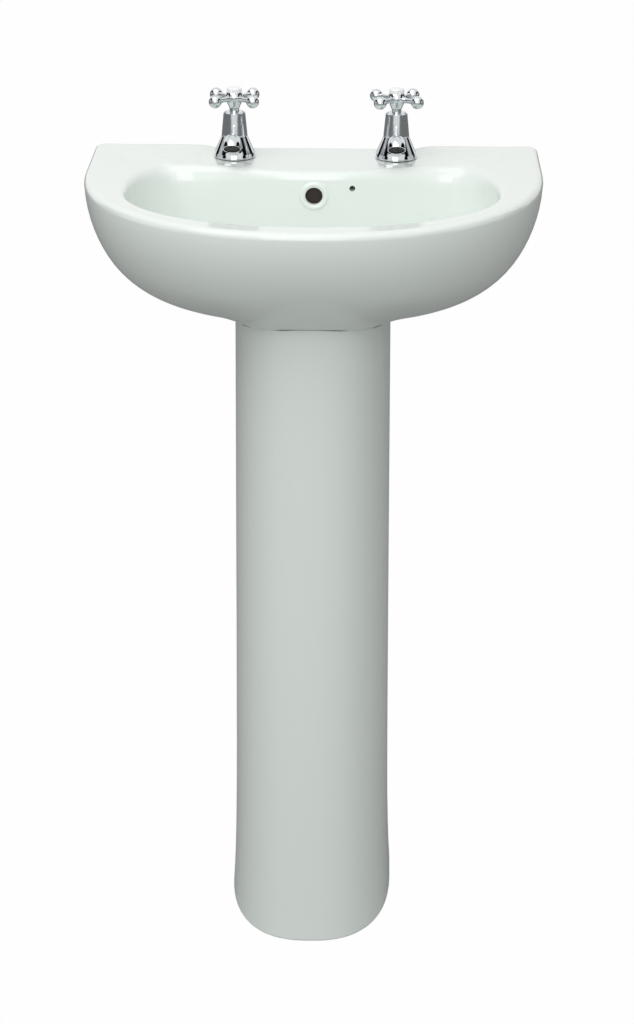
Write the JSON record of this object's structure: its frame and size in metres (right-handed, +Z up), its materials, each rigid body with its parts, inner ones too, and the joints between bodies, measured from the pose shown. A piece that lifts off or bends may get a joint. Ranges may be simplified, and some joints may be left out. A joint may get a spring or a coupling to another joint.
{
  "type": "pedestal sink",
  "caption": "Glazed ceramic wash basin with a round bowl and raised back corners, on a full pedestal, with chrome pillar taps and cross handles, a push-open waste and a bottle trap.",
  "frame": {"origin": "on the floor under the middle of the basin's outline", "axes": "+X to the right of someone standing at the basin, +Y to the wall, +Z up"},
  "size_m": [0.4996, 0.3997, 0.925],
  "materials": {
    "basin_glaze": "gloss white glaze",
    "pedestal_glaze": "gloss white glaze",
    "chrome_plate": "polished plate",
    "plain_brass": "turned",
    "steel_screw": "zinc plated",
    "cap_enamel": "gloss white",
    "rubber_seal": "matt",
    "nylon": "moulded",
    "trap_plastic": "moulded white"
  },
  "bodies": {
    "fixture": {"basin": "basin_glaze", "pedestal": "pedestal_glaze", "left_base_seal": "rubber_seal", "left_tap_body": "chrome_plate", "left_spacer_washer": "nylon", "left_back_nut": "plain_brass", "left_headwork": "plain_brass", "left_bonnet": "chrome_plate", "right_base_seal": "rubber_seal", "right_tap_body": "chrome_plate", "right_spacer_washer": "nylon", "right_back_nut": "plain_brass", "right_headwork": "plain_brass", "right_bonnet": "chrome_plate", "waste_top_seal": "rubber_seal", "waste_body": "chrome_plate", "waste_lower_seal": "rubber_seal", "waste_back_nut": "plain_brass", "plug_cartridge": "plain_brass", "trap_inlet_washer": "rubber_seal", "trap_inlet_nut": "trap_plastic", "trap_body": "trap_plastic", "trap_cup_seal": "rubber_seal", "trap_cup": "trap_plastic", "trap_outlet_washer": "rubber_seal", "trap_outlet_nut": "trap_plastic"},
    "left_handle": {"left_cross_handle": "chrome_plate", "left_index_cap": "cap_enamel", "left_handle_screw": "steel_screw", "left_spindle": "plain_brass", "left_spindle_ring": "rubber_seal"},
    "left_valve": {"left_jumper_valve": "plain_brass", "left_valve_washer": "rubber_seal"},
    "right_handle": {"right_cross_handle": "chrome_plate", "right_index_cap": "cap_enamel", "right_handle_screw": "steel_screw", "right_spindle": "plain_brass", "right_spindle_ring": "rubber_seal"},
    "right_valve": {"right_jumper_valve": "plain_brass", "right_valve_washer": "rubber_seal"},
    "plug": {"plug_cap": "chrome_plate", "plug_seal": "rubber_seal", "plug_stem": "plain_brass"}
  },
  "joints": [
    {"name": "left_handle_turn", "type": "hinge", "parent": "fixture", "child": "left_handle", "pos_m": [-0.09, 0.15, 0.913], "axis": [0, 0, 1], "range_deg": [0, 600]},
    {"name": "left_valve_lift", "type": "slide", "parent": "fixture", "child": "left_valve", "axis": [0, 0, 1], "range_m": [0, 0.005]},
    {"name": "right_handle_turn", "type": "hinge", "parent": "fixture", "child": "right_handle", "pos_m": [0.09, 0.15, 0.913], "axis": [0, 0, 1], "range_deg": [0, 600]},
    {"name": "right_valve_lift", "type": "slide", "parent": "fixture", "child": "right_valve", "axis": [0, 0, 1], "range_m": [0, 0.005]},
    {"name": "plug_lift", "type": "slide", "parent": "fixture", "child": "plug", "axis": [0, 0, 1], "range_m": [0, 0.009]}
  ],
  "couplings": [
    {"joint": "left_valve_lift", "follows": "left_handle_turn", "m_per_rad": 0.0004774},
    {"joint": "right_valve_lift", "follows": "right_handle_turn", "m_per_rad": 0.0004774}
  ]
}
